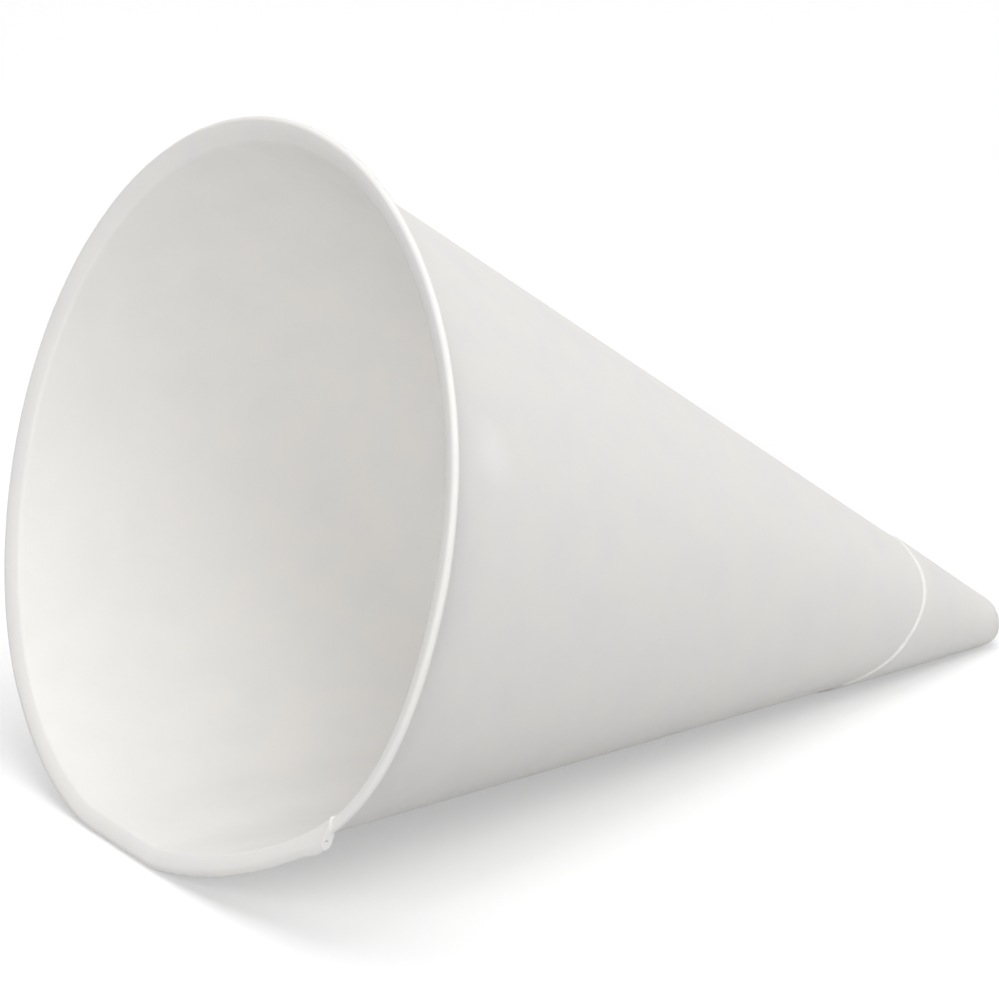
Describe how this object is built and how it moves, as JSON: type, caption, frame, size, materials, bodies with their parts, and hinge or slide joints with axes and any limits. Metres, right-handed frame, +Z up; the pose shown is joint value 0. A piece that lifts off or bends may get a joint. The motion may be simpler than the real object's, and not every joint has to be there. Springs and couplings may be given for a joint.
{
  "type": "cone paper cup",
  "caption": "Thin paper cone cup with a rolled rim and a lapped, wrapped tip, lying on its side as it comes to rest.",
  "frame": {"origin": "centre of the footprint box, on the surface that the cup lies on", "axes": "+Z up; the tip points to +X, the open mouth to -X, and the near side of the picture is -Y"},
  "size_m": [0.1014, 0.077, 0.068],
  "materials": {
    "paper": "matt bleached white paper"
  },
  "bodies": {
    "root": {"cone_cup": "paper"}
  },
  "joints": []
}
